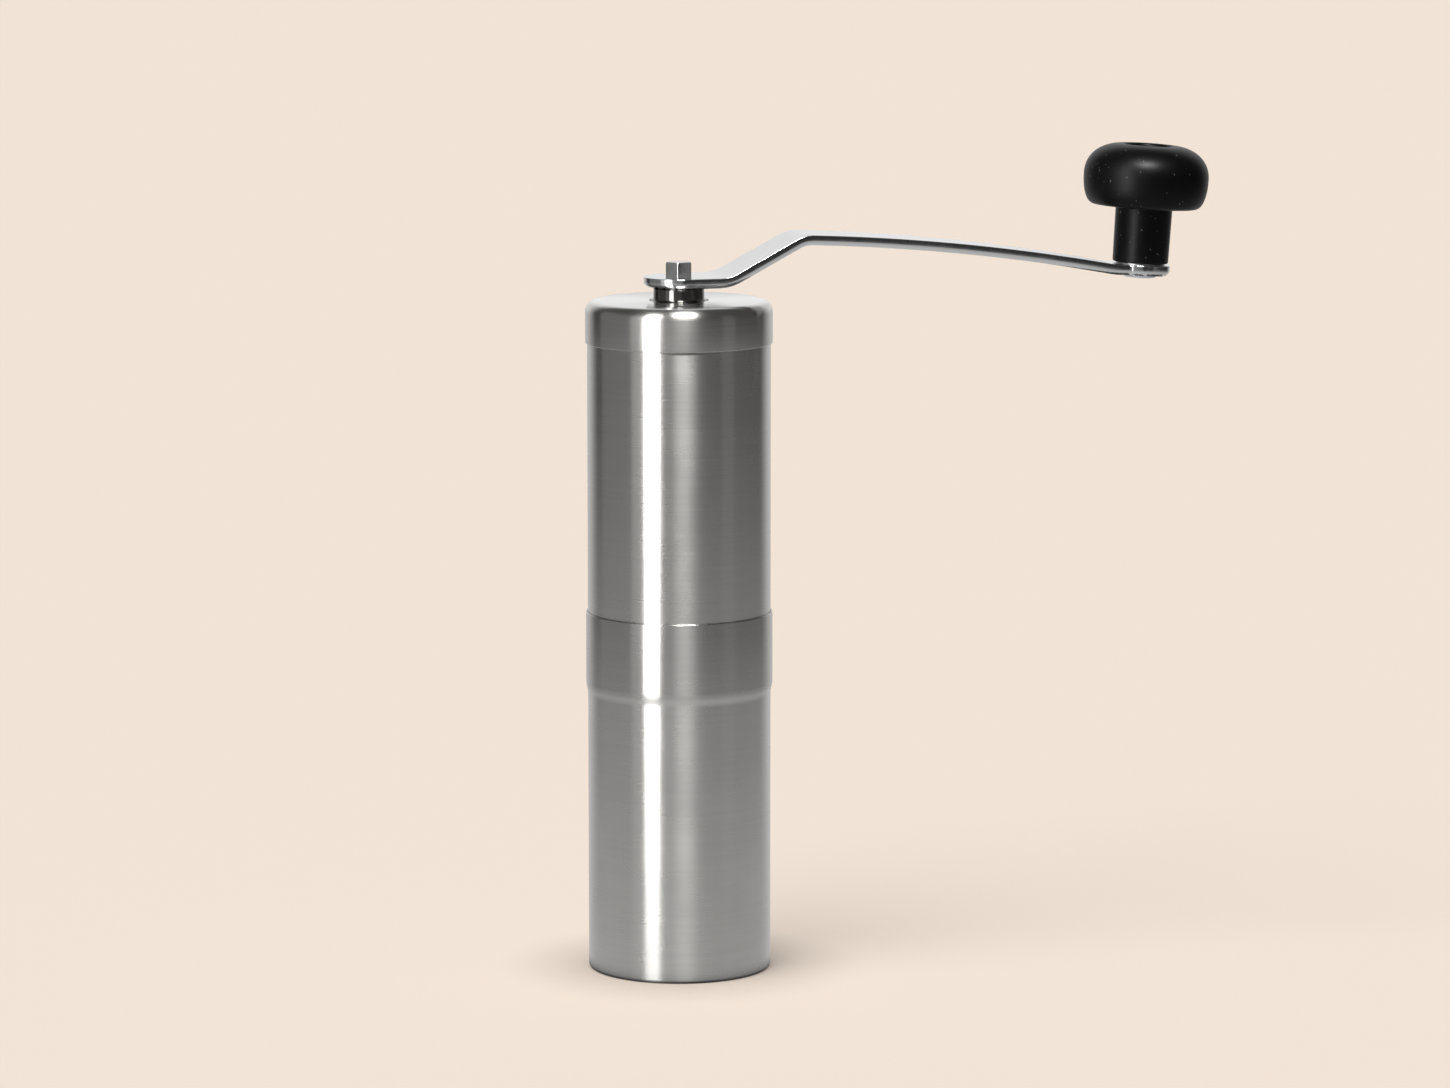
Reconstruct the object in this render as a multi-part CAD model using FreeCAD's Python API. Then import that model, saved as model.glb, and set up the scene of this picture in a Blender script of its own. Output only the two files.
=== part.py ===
import FreeCAD, Part
import math
import os

V = FreeCAD.Vector
Z = V(0, 0, 1)

# driving dimensions, millimetres and degrees; the grinder stands on z = 0 with its shaft on +Z
tube_r = 24.0  # outside of the tube and of the jar
sheet = 0.5  # wall of the jar, tube and cap
slip = 0.05  # radial slip fit of the jar's socket and the cap on the tube
band_r = tube_r + slip + 0.45
jar_step = 73.8
jar_top = 95.1
tube_foot = 76.3
tube_top = 174.6
cap_foot = 165.9
cap_top = 177.0
cap_fillet = 3.0  # outside of the cap's shoulder
neck_r = 6.6
neck_top = 180.4
neck_flare = 0.6
cap_hole_r = 3.9

shaft_r = 3.5
shaft_foot = 63.0
thread_r = 2.5
thread_top = 77.6
flats_top = 88.0
flats_across = 5.0
shoulder = 180.5
shaft_tip = 187.0
pentagon_r = 3.55
pentagon_turn = 35.0  # angle of one corner of the pentagon about Z
tip_bevel = 0.4
thread_pitch = 0.8
thread_depth = 0.25
groove_depth = 0.45  # of the two circlip grooves
running = 0.05  # radial running fit of the bushes and the thread
socket_fit = 0.08  # clearance of the crank's pentagonal hole

bridge_z = 166.0
bridge_skirt = 6.0
bush_r = 5.0
carrier_foot = 77.0
carrier_top = 96.0
carrier_r = 23.45
hub_r = 8.5
hub_foot = 93.0
hub_top = 100.0
burr_seat_r = 19.5
burr_foot = 78.0
burr_top = 92.0
burr_split = 84.0  # fine teeth below, coarse teeth above
spring_top = 91.5
spring_r = 4.35  # middle of the wire
spring_wire = 0.64
spring_turns = 3.5
driver_foot = 77.6
driver_step = 81.0
driver_top = 86.0
driver_r = 11.0
driver_neck = 5.2
plate_foot = 77.0
dial_foot = 66.0
dial_top = 76.9
dial_r = 10.5
dial_bore = 4.6

arm_t = 2.7
eye_r = 9.2
disc_r = 7.9
disc_x = 126.8
disc_slope = 3.6
arm_spare = 2.0  # extra bar at each end, trimmed by the plan outline
taper_end = 124.0
taper_half = 6.25
knob_lean = disc_slope
rivet_r = 3.0
rivet_head_r = 4.6
knob_foot = 0.35  # height of the knob's stem above the arm's disc
knob_underside = 15.3
knob_h = 31.7
knob_bore = 3.12
recess_r = 5.8
recess_floor = 26.5


def ring(inner, outer, low, high):
    # upright tube or disc between two heights
    solid = Part.makeCylinder(outer, high - low, V(0, 0, low))
    if inner:
        solid = solid.cut(Part.makeCylinder(inner, high - low, V(0, 0, low)))
    return solid


def lathe(points):
    # solid of revolution about Z from (radius, height) points
    outline = Part.makePolygon([V(r, 0, z) for r, z in points + points[:1]])
    return Part.Face(outline).revolve(V(0, 0, 0), Z, 360)


def corner(centre, radius, first, last, steps=6):
    # points along a rounded corner of a lathe outline
    angles = [math.radians(first + (last - first) * k / steps) for k in range(steps + 1)]
    return [(centre[0] + radius * math.cos(a), centre[1] + radius * math.sin(a)) for a in angles]


def around(solid, count):
    # copies of a solid spaced evenly about Z
    copies = []
    for k in range(count):
        copy = solid.copy()
        copy.rotate(V(0, 0, 0), Z, 360.0 * k / count)
        copies.append(copy)
    return copies


def sector(outer, low, high, first, last):
    # wedge of a disc between two angles
    wedge = Part.makeCylinder(outer, high - low, V(0, 0, low), Z, last - first)
    wedge.rotate(V(0, 0, 0), Z, first)
    return wedge


def grounds_jar():
    foot_fillet = 0.8
    floor_fillet = 0.9
    lip_r = 0.22
    foot = corner((tube_r - foot_fillet, foot_fillet), foot_fillet, -90, 0)
    step = [(tube_r, jar_step), (tube_r + 0.12, jar_step + 0.5)]
    step += [(band_r - 0.12, jar_step + 1.5), (band_r, jar_step + 2.0)]
    lip = corner((band_r - lip_r, jar_top - lip_r), lip_r, 0, 180, 8)
    socket = [(tube_r + slip, jar_top - 0.3), (tube_r + slip, jar_step + 2.4)]
    socket += [(tube_r - sheet, jar_step + 0.9)]
    floor = corner((tube_r - sheet - floor_fillet, sheet + floor_fillet), floor_fillet, 0, -90)
    return lathe([(0, 0)] + foot + step + lip + socket + floor + [(0, sheet)])


def body_tube():
    inner = tube_r - sheet
    lip_r = sheet / 2
    mouth = corner((tube_r - lip_r, tube_top - lip_r), lip_r, 0, 180, 8)
    return lathe([(inner, tube_foot), (tube_r, tube_foot)] + mouth)


def top_cap():
    inner = tube_r + slip
    lip_r = 0.22
    crown_r = 0.35
    neck_wall = 0.6
    inner_fillet = cap_fillet - sheet + slip
    lip = corner((band_r - lip_r, cap_foot + lip_r), lip_r, -180, 0, 8)
    shoulder_arc = corner((band_r - cap_fillet, cap_top - cap_fillet), cap_fillet, 0, 90, 10)
    flared = corner((neck_r + 0.25 + neck_flare, cap_top + neck_flare), neck_flare, -90, -180, 6)
    crown = corner((neck_r - crown_r, neck_top - crown_r), crown_r, 0, 90, 5)
    under = [(cap_hole_r, neck_top), (cap_hole_r, neck_top - sheet), (neck_r - neck_wall, neck_top - sheet)]
    under += [(neck_r - neck_wall + 0.2, cap_top - sheet)]
    under += corner((inner - inner_fillet, cap_top - sheet - inner_fillet), inner_fillet, 90, 0, 10)
    return lathe(lip + shoulder_arc + flared + crown + under)


def shaft_bridge():
    inner = tube_r - sheet
    bend = 1.6
    foot = bridge_z - bridge_skirt
    dish = lathe(
        [(bush_r, bridge_z), (inner - bend, bridge_z)]
        + corner((inner - bend, bridge_z - 0.8), 0.8, 90, 0)
        + [(inner - 0.8, foot), (inner, foot)]
        + corner((inner - bend, bridge_z - 0.6), bend, 0, 90)
        + [(bush_r, bridge_z + 1)]
    )
    hub = ring(0, 9.5, foot - 1, bridge_z + 2)
    gap = sector(inner + 1, foot - 1, bridge_z + 2, 16, 104).cut(hub)
    return dish.cut(Part.Compound(around(gap, 3)))


def upper_bush():
    flange_r = 7.0
    sleeve = ring(shaft_r + running, bush_r, bridge_z - 5, bridge_z + 1)
    flange = ring(shaft_r + running, flange_r, bridge_z + 1, bridge_z + 2)
    return sleeve.fuse(flange)


def circlip(low, high):
    body_r = 5.2
    ear_r = 1.2
    hole_r = 0.5
    hole_at = 5.4
    body = ring(shaft_r - 0.4, body_r, low, high)
    directions = [V(math.cos(a), math.sin(a), 0) for a in (math.radians(24), math.radians(-24))]
    ears = [Part.makeCylinder(ear_r, high - low, d * body_r + Z * low) for d in directions]
    holes = [Part.makeCylinder(hole_r, high - low, d * hole_at + Z * low) for d in directions]
    clip = body.multiFuse(ears).cut(Part.Compound(holes))
    clip = clip.cut(Part.makeCylinder(shaft_r - 0.4, high - low, Z * low))
    return clip.cut(sector(8, low, high, -12, 12))


def shaft_circlips():
    upper = circlip(bridge_z + 2.1, bridge_z + 3.0)
    lower = circlip(bridge_z - 6.0, bridge_z - 5.1)
    return Part.Compound([upper, lower])


def pentagon(radius, low, high):
    corners = [math.radians(pentagon_turn + 72 * k) for k in range(6)]
    outline = Part.makePolygon([V(radius * math.cos(a), radius * math.sin(a), low) for a in corners])
    return Part.Face(outline).extrude(V(0, 0, high - low))


def double_d(radius, across, low, high):
    slab = Part.makeBox(2 * radius, across, high - low, V(-radius, -across / 2, low))
    return ring(0, radius, low, high).common(slab)


def drive_shaft():
    thread = [(0, shaft_foot), (thread_r - 0.4, shaft_foot), (thread_r, shaft_foot + 0.4)]
    for k in range(16):
        z = shaft_foot + 0.9 + thread_pitch * k
        thread += [(thread_r, z), (thread_r - thread_depth, z + 0.2), (thread_r, z + 0.4)]
    thread += [(thread_r, thread_top), (0, thread_top)]
    keyed = double_d(shaft_r, flats_across, thread_top, flats_top)
    groove = shaft_r - groove_depth
    stem = [(0, flats_top), (shaft_r, flats_top)]
    for low in (bridge_z - 6.05, bridge_z + 2.05):
        stem += [(shaft_r, low), (groove, low), (groove, low + 1), (shaft_r, low + 1)]
    plain = lathe(stem + [(shaft_r, shoulder), (0, shoulder)])
    point = lathe(
        [(0, shoulder), (shaft_r, shoulder), (shaft_r, shaft_tip - tip_bevel)]
        + [(shaft_r - tip_bevel, shaft_tip), (0, shaft_tip)]
    )
    tip = pentagon(pentagon_r, shoulder, shaft_tip).common(point)
    return lathe(thread).multiFuse([keyed, plain, tip])


def burr_carrier():
    spoke_width = 4.0
    rib_width = 1.6
    rib_height = 3.0
    wall = ring(burr_seat_r, carrier_r, carrier_foot, carrier_top)
    ledge = ring(17.8, carrier_r, burr_top, carrier_top)
    hub = ring(bush_r, hub_r, hub_foot, hub_top)
    spoke = Part.makeBox(13.5, spoke_width, spoke_width, V(7.0, -spoke_width / 2, hub_foot))
    rib = Part.makeBox(3.5, rib_width, rib_height, V(7.5, -rib_width / 2, hub_foot + spoke_width))
    return wall.multiFuse([ledge, hub] + around(spoke, 3) + around(rib, 3))


def lower_bush():
    sleeve = ring(shaft_r + running, bush_r, hub_foot, hub_top + 0.5)
    flange = ring(shaft_r + running, 6.5, burr_top + 0.1, hub_foot)
    return sleeve.fuse(flange)


def thrust_washer():
    return ring(shaft_r + running, 6.0, spring_top, burr_top)


def star(teeth, deep, high, z, turn):
    # closed zigzag outline of a toothed section
    points = []
    for k in range(teeth):
        a = math.radians(turn + 360.0 * k / teeth)
        b = math.radians(turn + 360.0 * (k + 0.5) / teeth)
        points.append(V(high * math.cos(a), high * math.sin(a), z))
        points.append(V(deep * math.cos(b), deep * math.sin(b), z))
    return Part.makePolygon(points + points[:1])


def toothed(teeth, lower, upper, twist):
    # solid between two toothed sections, each given as (height, trough, crest)
    first = star(teeth, lower[1], lower[2], lower[0], 0)
    last = star(teeth, upper[1], upper[2], upper[0], twist)
    return Part.makeLoft([first, last], True, True)


def outer_burr():
    blank = ring(0, burr_seat_r - 0.1, burr_foot, burr_top)
    fine = toothed(36, (burr_foot, 17.1, 16.7), (burr_split, 16.3, 15.7), 6)
    coarse = toothed(9, (burr_split, 17.4, 15.7), (burr_top, 17.9, 14.3), 30)
    return blank.cut(fine).cut(coarse)


def inner_burr():
    fine = toothed(36, (burr_foot, 15.3, 15.9), (burr_split, 14.3, 14.9), 6)
    coarse = toothed(8, (burr_split, 12.2, 14.9), (90.0, 6.7, 9.0), 40)
    bore = ring(0, 5.2, burr_foot, 90.0)
    recess = ring(0, 11.0, burr_foot, 81.0)
    return fine.fuse(coarse).cut(bore.fuse(recess))


def burr_clip_ring():
    foot = burr_foot - 0.9
    return ring(17.3, burr_seat_r, foot, burr_foot).cut(sector(25, foot - 0.1, burr_foot + 0.5, 80, 100))


def burr_driver():
    pocket_r = 1.6
    pocket_depth = 1.5
    core = ring(0, driver_neck, driver_step, driver_top).fuse(ring(0, driver_r, driver_foot, driver_step))
    core = core.cut(double_d(shaft_r + running, flats_across + 2 * running, driver_foot, driver_top))
    pockets = around(Part.makeCylinder(pocket_r, pocket_depth, V(8.2, 0, driver_step - pocket_depth)), 6)
    return core.cut(Part.Compound(pockets))


def detent_plate():
    dimple_r = 0.7
    plate = ring(4.0, 9.0, plate_foot, driver_foot)
    dimples = around(Part.makeCylinder(dimple_r, driver_foot - plate_foot, V(6.6, 0, plate_foot)), 12)
    return plate.cut(Part.Compound(dimples))


def burr_spring():
    end_gap = 0.35
    low = driver_top + end_gap
    high = spring_top - end_gap
    steps = int(24 * spring_turns)
    points = []
    for k in range(steps + 1):
        a = 2 * math.pi * spring_turns * k / steps
        points.append(V(spring_r * math.cos(a), spring_r * math.sin(a), low + (high - low) * k / steps))
    wire = Part.Wire(Part.makeCircle(spring_wire / 2, points[0], points[1] - points[0]))
    return Part.makePolygon(points).makePipeShell([wire], True, False, 1)


def adjuster_dial():
    collar_r = 8.4
    scallop_r = 2.0
    head = lathe(
        [(dial_bore, dial_foot), (dial_r - 0.8, dial_foot), (dial_r, dial_foot + 0.8)]
        + [(dial_r, dial_foot + 7.2), (dial_r - 0.6, dial_foot + 7.8)]
        + [(collar_r, dial_foot + 8.2), (collar_r, dial_top), (dial_bore, dial_top)]
    )
    scallop = Part.makeCylinder(scallop_r, 10, V(dial_r + 1.1, 0, dial_foot - 1))
    return head.cut(Part.Compound(around(scallop, 12)))


def adjuster_insert():
    return ring(thread_r + running, dial_bore, dial_foot + 0.4, dial_top)


def arm_path(steps):
    # middle line of the crank seen from the side: point and heading at each change of curve
    place = V(-eye_r - arm_spare, 0, shoulder + arm_t / 2)
    heading = 0.0
    stations = [(place, heading)]
    for length, radius, turn in steps:
        if turn == 0:
            a = math.radians(heading)
            place = place + V(math.cos(a), 0, math.sin(a)) * length
        else:
            side = math.copysign(radius, turn)
            a = math.radians(heading)
            centre = place + V(-math.sin(a), 0, math.cos(a)) * side
            heading = heading + turn
            a = math.radians(heading)
            place = centre - V(-math.sin(a), 0, math.cos(a)) * side
        stations.append((place, heading))
    return stations


def offset(place, heading, distance):
    a = math.radians(heading)
    return place + V(-math.sin(a), 0, math.cos(a)) * distance


def arm_side(stations, steps, distance):
    # edges of one face of the bar, a given distance above its middle line
    edges = []
    for (start, h0), (end, h1), step in zip(stations, stations[1:], steps):
        p = offset(start, h0, distance)
        q = offset(end, h1, distance)
        if step[2] == 0:
            edges.append(Part.makeLine(p, q))
        else:
            side = math.copysign(step[1], step[2])
            centre = offset(start, h0, side)
            half = math.radians((h0 + h1) / 2)
            middle = centre + V(-math.sin(half), 0, math.cos(half)) * (distance - side)
            edges.append(Part.Arc(p, middle, q).toShape())
    return edges


arm_steps = [  # straight length, bend radius, turn
    (18.4 + arm_spare, 0, 0),
    (0, 10.35, 27.7),
    (18.51, 0, 0),
    (0, 7.0, -30.4),
    (0, 586.0, -8.15),
    (0, 16.0, 30.4 + 8.15 - 27.7 - disc_slope),
    (15.8 + arm_spare, 0, 0),
]


def disc_frame():
    # place on the top of the arm's disc where the knob's axis leaves it
    end, heading = arm_path(arm_steps)[-1]
    top = offset(end, heading, arm_t / 2)
    back = (top.x - disc_x) / math.cos(math.radians(heading))
    a = math.radians(heading)
    return top - V(math.cos(a), 0, math.sin(a)) * back


def at_knob(solid):
    # carries a solid built on Z at the origin to the knob's leaning axis
    placed = solid.copy()
    placed.rotate(V(0, 0, 0), V(0, 1, 0), knob_lean)
    placed.translate(disc_frame())
    return placed


def crank_arm():
    stations = arm_path(arm_steps)
    top = arm_side(stations, arm_steps, arm_t / 2)
    under = arm_side(stations, arm_steps, -arm_t / 2)
    ends = [
        Part.makeLine(top[0].Vertexes[0].Point, under[0].Vertexes[0].Point),
        Part.makeLine(top[-1].Vertexes[-1].Point, under[-1].Vertexes[-1].Point),
    ]
    profile = Part.Wire(Part.sortEdges(top + under + ends)[0])
    bar = Part.Face(profile).extrude(V(0, 30, 0))
    bar.translate(V(0, -15, 0))
    taper = Part.makePolygon([V(0, -eye_r, 150), V(taper_end, -taper_half, 150),
                              V(taper_end, taper_half, 150), V(0, eye_r, 150), V(0, -eye_r, 150)])
    plan = Part.Face(taper).extrude(V(0, 0, 60))
    eye = Part.makeCylinder(eye_r, 60, V(0, 0, 150))
    disc = Part.makeCylinder(disc_r, 60, V(disc_x, 0, 150))
    plan = plan.multiFuse([eye, disc]).removeSplitter()
    blank = bar.common(plan)
    hole = pentagon(pentagon_r + socket_fit, 170, 190)
    hole = hole.common(Part.makeCylinder(shaft_r + 0.06, 20, V(0, 0, 170)))
    pin = at_knob(Part.makeCylinder(rivet_r, 20, V(0, 0, -10)))
    return rounded(blank, 0.5).cut(hole).cut(pin)


def rounded(blank, radius):
    # rounds the edges that run along the top and bottom faces of the bar
    long_edges = [e for e in blank.Edges if abs(e.BoundBox.YMin + e.BoundBox.YMax) > 0.1
                  or e.BoundBox.XMin < 0 or e.BoundBox.XMax > disc_x]
    flat_edges = [e for e in long_edges if e.BoundBox.ZLength < 0.9 * arm_t or e.Length > 3.5]
    return blank.makeFillet(radius, flat_edges)


def knob():
    stem_foot_r = 7.4
    stem_top_r = 7.55
    mouth_r = 6.9
    u = knob_underside
    side = [V(13.6, 0, u), V(14.45, 0, u + 0.35), V(14.95, 0, u + 1.3), V(15.75, 0, u + 3.6)]
    side += [V(16.4, 0, u + 6.2), V(16.6, 0, u + 8.0), V(16.35, 0, u + 10.0), V(15.4, 0, u + 12.1)]
    side += [V(13.9, 0, u + 13.8), V(11.8, 0, u + 15.1), V(9.2, 0, u + 16.0), V(mouth_r, 0, knob_h)]
    swell = Part.BSplineCurve()
    swell.interpolate(side)
    foot_inner = V(knob_bore, 0, knob_foot)
    foot_outer = V(stem_foot_r - 0.5, 0, knob_foot)
    stem_foot = V(stem_foot_r, 0, knob_foot + 0.5)
    stem_top = V(stem_top_r, 0, u)
    lip_inner = V(mouth_r - 0.9, 0, knob_h - 0.8)
    floor_outer = V(recess_r, 0, recess_floor)
    floor_inner = V(knob_bore, 0, recess_floor)
    outline = [
        Part.makeLine(foot_inner, foot_outer),
        Part.Arc(foot_outer, V(stem_foot_r - 0.15, 0, knob_foot + 0.15), stem_foot).toShape(),
        Part.makeLine(stem_foot, stem_top),
        Part.makeLine(stem_top, side[0]),
        swell.toShape(),
        Part.Arc(side[-1], V(mouth_r - 0.65, 0, knob_h - 0.2), lip_inner).toShape(),
        Part.makeLine(lip_inner, floor_outer),
        Part.makeLine(floor_outer, floor_inner),
        Part.makeLine(floor_inner, foot_inner),
    ]
    return at_knob(Part.Face(Part.Wire(outline)).revolve(V(0, 0, 0), Z, 360))


def knob_rivet():
    head_foot = recess_floor + 0.6
    pin = ring(0, rivet_r, -arm_t, head_foot)
    head = lathe([(0, head_foot), (rivet_head_r, head_foot), (4.4, 28.0), (3.2, 28.8), (1.6, 29.2)]
                 + [(0, 29.3)])
    tail = lathe([(0, -arm_t - 0.9), (3.2, -arm_t - 0.9), (4.4, -arm_t - 0.4), (rivet_head_r, -arm_t)]
                 + [(0, -arm_t)])
    return at_knob(pin.multiFuse([head, tail]))


def knob_washers():
    lower = ring(rivet_r + 0.02, 6.4, 0.02, knob_foot - 0.03)
    upper = ring(rivet_r + 0.02, 5.4, recess_floor + 0.05, recess_floor + 0.6)
    return at_knob(Part.Compound([lower, upper]))


nodes = {
    "grounds_jar": grounds_jar,
    "body_tube": body_tube,
    "shaft_bridge": shaft_bridge,
    "upper_bush": upper_bush,
    "burr_carrier": burr_carrier,
    "lower_bush": lower_bush,
    "outer_burr": outer_burr,
    "burr_clip_ring": burr_clip_ring,
    "drive_shaft": drive_shaft,
    "shaft_circlips": shaft_circlips,
    "thrust_washer": thrust_washer,
    "burr_spring": burr_spring,
    "inner_burr": inner_burr,
    "burr_driver": burr_driver,
    "detent_plate": detent_plate,
    "adjuster_dial": adjuster_dial,
    "adjuster_insert": adjuster_insert,
    "top_cap": top_cap,
    "crank_arm": crank_arm,
    "knob_rivet": knob_rivet,
    "knob_washers": knob_washers,
    "knob": knob,
}

os.makedirs("parts", exist_ok=True)
for name, make in nodes.items():
    shape = make()
    box = shape.BoundBox
    shape.exportStep("parts/" + name + ".step")
    print(name, shape.isValid(), len(shape.Solids), round(shape.Volume, 1),
          [round(v, 2) for v in (box.XMin, box.XMax, box.YMin, box.YMax, box.ZMin, box.ZMax)])
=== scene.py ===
import math

import bmesh
import bpy
from mathutils import Matrix, Vector
from mathutils.geometry import interpolate_bezier


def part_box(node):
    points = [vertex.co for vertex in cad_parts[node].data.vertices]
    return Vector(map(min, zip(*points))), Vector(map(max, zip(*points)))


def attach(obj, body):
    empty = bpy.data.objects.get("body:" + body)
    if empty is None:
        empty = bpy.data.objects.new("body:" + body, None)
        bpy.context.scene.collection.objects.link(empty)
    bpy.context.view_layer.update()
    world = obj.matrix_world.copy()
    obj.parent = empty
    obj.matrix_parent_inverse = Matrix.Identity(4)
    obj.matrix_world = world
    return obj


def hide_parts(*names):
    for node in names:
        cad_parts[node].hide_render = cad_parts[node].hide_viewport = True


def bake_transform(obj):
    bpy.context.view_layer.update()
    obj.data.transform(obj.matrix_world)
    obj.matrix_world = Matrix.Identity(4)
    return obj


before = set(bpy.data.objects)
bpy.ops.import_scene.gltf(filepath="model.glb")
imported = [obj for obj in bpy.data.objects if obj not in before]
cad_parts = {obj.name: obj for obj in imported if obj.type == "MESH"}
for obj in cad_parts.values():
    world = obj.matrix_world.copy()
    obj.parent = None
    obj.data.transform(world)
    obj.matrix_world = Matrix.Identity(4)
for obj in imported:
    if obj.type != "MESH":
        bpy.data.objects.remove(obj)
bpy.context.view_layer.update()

up = Vector((0, 0, 1))
origin = Vector((0, 0, 0))
print("frame loaded:", len(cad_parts), "CAD nodes")


class Sum:                                             # a socket that can be added, multiplied and so on
    def __init__(self, paint, socket):
        self.paint = paint
        self.socket = socket

    def join(self, operation, first, second):
        return self.paint.node("ShaderNodeMath", {"operation": operation}, {0: first, 1: second})

    def __add__(self, other):
        return self.join("ADD", self, other)

    def __sub__(self, other):
        return self.join("SUBTRACT", self, other)

    def __rsub__(self, other):
        return self.join("SUBTRACT", other, self)

    def __mul__(self, other):
        return self.join("MULTIPLY", self, other)

    def __pow__(self, other):
        return self.join("POWER", self, other)

    __radd__ = __add__
    __rmul__ = __mul__


class Paint:                                           # the nodes of one material, or of the world
    def __init__(self, owner):
        self.owner = bpy.data.materials.new(owner) if isinstance(owner, str) else owner
        self.owner.use_nodes = True
        self.tree = self.owner.node_tree
        self.tree.nodes.clear()

    def node(self, kind, settings=None, inputs=None, output=0):
        made = self.tree.nodes.new(kind)
        for key, value in (settings or {}).items():
            setattr(made, key, value)
        for key, value in (inputs or {}).items():
            if isinstance(value, Sum):
                self.tree.links.new(value.socket, made.inputs[key])
            else:
                made.inputs[key].default_value = value
        return Sum(self, made.outputs[output]) if made.outputs else made

    def noise(self, vector, scale=1.0, detail=3.0, rough=0.55):
        return self.node("ShaderNodeTexNoise", {}, {"Vector": vector, "Scale": scale,
                                                    "Detail": detail, "Roughness": rough})

    def spread(self, value, low, high, toLow=0.0, toHigh=1.0):
        return self.node("ShaderNodeMapRange", {"clamp": True},
                         {"Value": value, "From Min": low, "From Max": high,
                          "To Min": toLow, "To Max": toHigh})

    def mix(self, factor, first, second):
        return self.node("ShaderNodeMix", {"data_type": "RGBA"},
                         {"Factor": factor, 6: first, 7: second}, output=2)

    def scaled(self, vector, scale):
        return self.node("ShaderNodeMapping", {}, {"Vector": vector, "Scale": scale})

    def bump(self, height, distance, strength=1.0):
        return self.node("ShaderNodeBump", {}, {"Height": height, "Distance": distance,
                                                "Strength": strength})

    def done(self, inputs):
        shader = self.node("ShaderNodeBsdfPrincipled", {}, inputs)
        self.node("ShaderNodeOutputMaterial", {}, {"Surface": shader})
        return self.owner


def grey(value, warmth=0.0):
    return (value * (1 + warmth), value, value * (1 - 2 * warmth), 1)


def toned(colour, share):
    return tuple(channel * share for channel in colour) + (1,)


brush = {"hair": (60, 60, 4200), "line": (26, 26, 1300), "cloud": 55, "bandBlur": 0.0004}


def brushedSteel(name, look):                          # fine lines that run round the Z axis
    paint = Paint(name)
    place = paint.node("ShaderNodeTexCoord", output="Object")
    split = paint.node("ShaderNodeSeparateXYZ", {}, {"Vector": place}).socket.node
    x, y, z = (Sum(paint, split.outputs[axis]) for axis in "XYZ")
    radius = (x * x + y * y) ** 0.5
    along = z + radius
    lines = paint.node("ShaderNodeCombineXYZ", {}, {"X": x, "Y": y, "Z": along})
    hair = paint.noise(paint.scaled(lines, brush["hair"]), detail=2)
    line = paint.noise(paint.scaled(lines, brush["line"]), detail=3)
    cloud = paint.noise(place, brush["cloud"], 2)
    shade = 0.5 * hair + 0.5 * line
    marks = paint.spread(shade, 0.3, 0.7)
    colour = paint.mix(marks, grey(look["colour"] * (1 - look["streak"]), look["warmth"]),
                       grey(look["colour"] * (1 + look["streak"]), look["warmth"]))
    rough = look["rough"] + look["uneven"] * (0.2 * shade + cloud - 0.6)
    if "bandFrom" in look:                             # above here the colour goes toward bandTone: painted highlight on the cap's top, darker on the jar
        band = paint.spread(z, look["bandFrom"] - brush["bandBlur"], look["bandFrom"] + brush["bandBlur"])
        colour = paint.mix(band * look["bandShare"], colour, grey(look["bandTone"]))
        rough = rough + band * look["bandRough"]
    return paint.done({"Base Color": colour, "Metallic": 1.0, "Roughness": rough,
                       "Anisotropic": look["grain"], "Anisotropic Rotation": 0.25,
                       "Normal": paint.bump(shade, look["depth"])})


polish = {"scuff": (900, 260, 900), "cloud": 90, "dark": 0.94, "light": 1.04, "scuffShare": 0.05}


def polishedSteel(name, look):                         # bright, with faint waves and hairline scuffs
    paint = Paint(name)
    place = paint.node("ShaderNodeTexCoord", output="Object")
    wave = paint.noise(place, look["wave"], 2)
    scuff = paint.noise(paint.scaled(place, polish["scuff"]), detail=4)
    cloud = paint.noise(place, polish["cloud"], 3)
    colour = paint.mix(cloud, grey(look["colour"] * polish["dark"]), grey(look["colour"] * polish["light"]))
    rough = look["rough"] + look["uneven"] * (scuff + cloud - 1.0)
    height = wave + polish["scuffShare"] * scuff
    return paint.done({"Base Color": colour, "Metallic": 1.0, "Roughness": rough,
                       "Normal": paint.bump(height, look["depth"])})


lathe = {"rings": (160, 160, 4200), "cloud": 240, "dark": 0.8, "light": 1.15, "uneven": 0.16}


def turnedMetal(name, look):                           # lathe rings, for bushes, inserts and washers
    paint = Paint(name)
    place = paint.node("ShaderNodeTexCoord", output="Object")
    rings = paint.noise(paint.scaled(place, lathe["rings"]), detail=2)
    cloud = paint.noise(place, lathe["cloud"], 3)
    colour = paint.mix(rings * 0.5 + cloud * 0.5, toned(look["colour"], lathe["dark"]),
                       toned(look["colour"], lathe["light"]))
    rough = look["rough"] + lathe["uneven"] * (cloud - 0.5)
    return paint.done({"Base Color": colour, "Metallic": 1.0, "Roughness": rough,
                       "Normal": paint.bump(rings + cloud, look["depth"])})


clay = {"grain": 2600, "grainDepth": 0.00003, "cloud": 130, "tint": (0.93, 0.92, 0.90), "speck": 1500,
        "speckFrom": 0.70, "speckTo": 0.76, "speckShare": 0.35, "speckColour": (0.45, 0.40, 0.34, 1)}


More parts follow.
